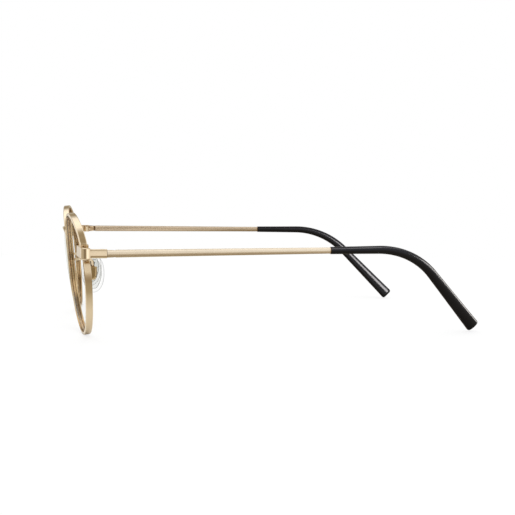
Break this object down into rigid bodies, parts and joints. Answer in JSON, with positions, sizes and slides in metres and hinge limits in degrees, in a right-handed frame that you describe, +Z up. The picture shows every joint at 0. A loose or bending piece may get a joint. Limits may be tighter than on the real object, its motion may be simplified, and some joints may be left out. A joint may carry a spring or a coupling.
{
  "type": "full-rim metal eyeglasses",
  "caption": "Full-rim metal eyeglasses with panto lenses, screw-on nose pads, folding temples and plastic tip sleeves.",
  "frame": {"origin": "on the table plane, midway between the temples and midway between the front of the bridge and the back of the temple tips, with the temples open", "axes": "+Z up, the lenses look along -Y, the temples run back along +Y, +X is the wearer's left"},
  "size_m": [0.1368, 0.1448, 0.0415],
  "materials": {
    "gold_polished": "polished pale gold plating",
    "gold_satin": "satin pale gold plating",
    "screw_metal": "plated steel screw",
    "tip_black": "glossy black acetate",
    "lens_clear": "clear coated lens",
    "pad_core_clear": "clear hard plastic",
    "pad_silicone": "clear soft silicone"
  },
  "bodies": {
    "front": {"bridge": "gold_polished", "rim_left": "gold_polished", "rim_right": "gold_polished", "lens_left": "lens_clear", "lens_right": "lens_clear", "endpiece_left": "gold_polished", "endpiece_right": "gold_polished", "closing_block_upper_left": "gold_polished", "closing_block_upper_right": "gold_polished", "closing_block_lower_left": "gold_polished", "closing_block_lower_right": "gold_polished", "closing_screw_left": "screw_metal", "closing_screw_right": "screw_metal", "hinge_front_leaf_left": "gold_polished", "hinge_front_leaf_right": "gold_polished", "hinge_screw_left": "screw_metal", "hinge_screw_right": "screw_metal", "pad_arm_left": "gold_polished", "pad_arm_right": "gold_polished", "pad_box_left": "gold_polished", "pad_box_right": "gold_polished", "pad_screw_left": "screw_metal", "pad_screw_right": "screw_metal"},
    "temple_left_arm": {"temple_left": "gold_satin", "temple_tip_left": "tip_black", "hinge_temple_leaf_left": "gold_polished"},
    "nose_pad_left": {"pad_core_left": "pad_core_clear", "pad_skin_left": "pad_silicone"},
    "temple_right_arm": {"temple_right": "gold_satin", "temple_tip_right": "tip_black", "hinge_temple_leaf_right": "gold_polished"},
    "nose_pad_right": {"pad_core_right": "pad_core_clear", "pad_skin_right": "pad_silicone"}
  },
  "joints": [
    {"name": "temple_fold_left", "type": "hinge", "parent": "front", "child": "temple_left_arm", "pos_m": [0.064, -0.06124, 0.03028], "axis": [0, 0, 1], "range_deg": [0, 84]},
    {"name": "temple_fold_right", "type": "hinge", "parent": "front", "child": "temple_right_arm", "pos_m": [-0.064, -0.06124, 0.03028], "axis": [0, 0, -1], "range_deg": [0, 77]},
    {"name": "pad_rock_left", "type": "hinge", "parent": "front", "child": "nose_pad_left", "pos_m": [0.01121, -0.06188, 0.01869], "axis": [0.2588, 0.9659, 0], "range_deg": [-10, 10]},
    {"name": "pad_rock_right", "type": "hinge", "parent": "front", "child": "nose_pad_right", "pos_m": [-0.01121, -0.06188, 0.01869], "axis": [0.2588, -0.9659, 0], "range_deg": [-10, 10]}
  ]
}
